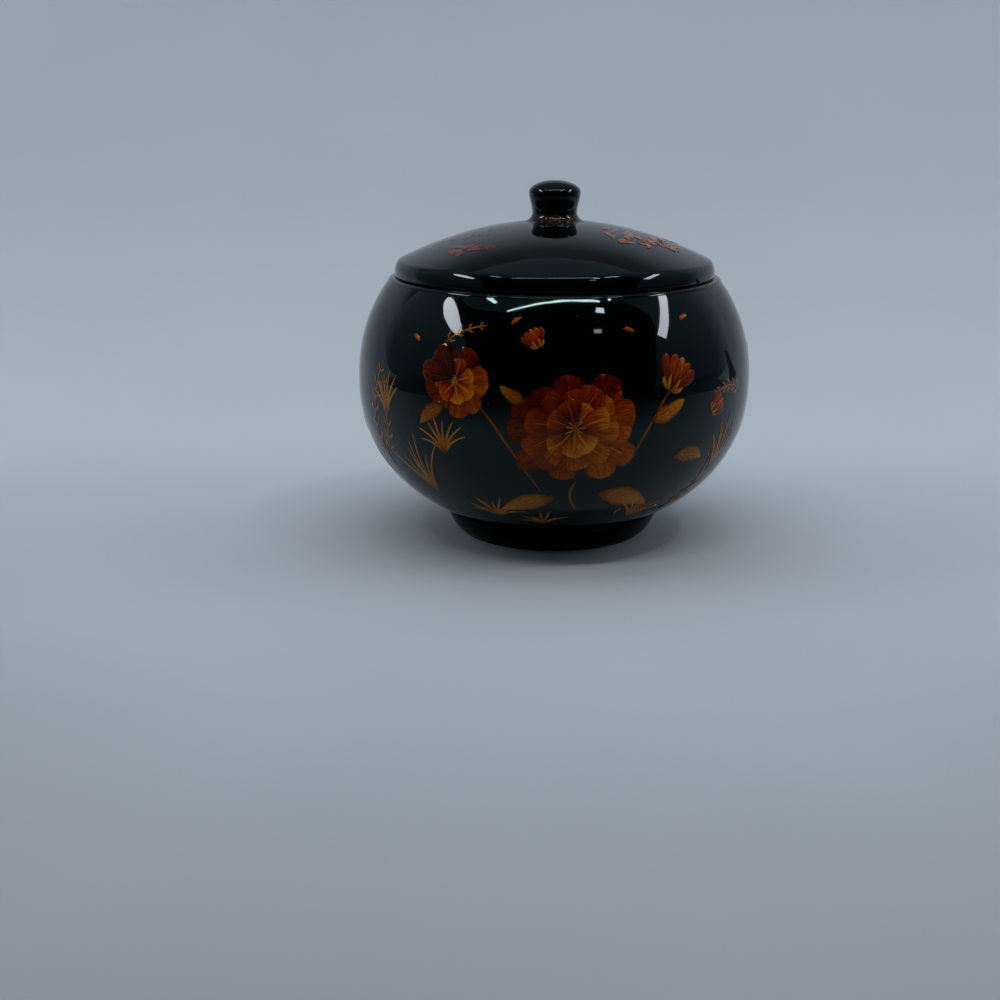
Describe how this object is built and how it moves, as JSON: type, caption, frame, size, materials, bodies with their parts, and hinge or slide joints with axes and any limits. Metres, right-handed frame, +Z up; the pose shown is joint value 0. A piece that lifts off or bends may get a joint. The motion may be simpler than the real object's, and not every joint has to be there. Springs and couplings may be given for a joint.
{
  "type": "lidded trinket box",
  "caption": "Squat round turned-wood trinket box in glossy black lacquer, with a tapered foot ring, a domed lid that lifts off and a turned knob.",
  "frame": {"origin": "centre of the foot ring's underside, on the table", "axes": "+Z up along the turning axis, -Y towards the viewer of the picture, +X to the right"},
  "size_m": [0.1004, 0.1004, 0.09],
  "materials": {
    "black_lacquer": "high-gloss black lacquer on turned wood",
    "foot_lacquer": "gloss black lacquer on turned wood",
    "bare_wood": "bare wood"
  },
  "bodies": {
    "box": {"bowl": "black_lacquer", "foot_ring": "foot_lacquer"},
    "lid": {"lid": "black_lacquer", "lid_locating_ring": "black_lacquer", "knob": "black_lacquer", "knob_dowel": "bare_wood"}
  },
  "joints": [
    {"name": "lid_lift", "type": "slide", "parent": "box", "child": "lid", "axis": [0, 0, 1], "range_m": [0, 0.05]}
  ]
}
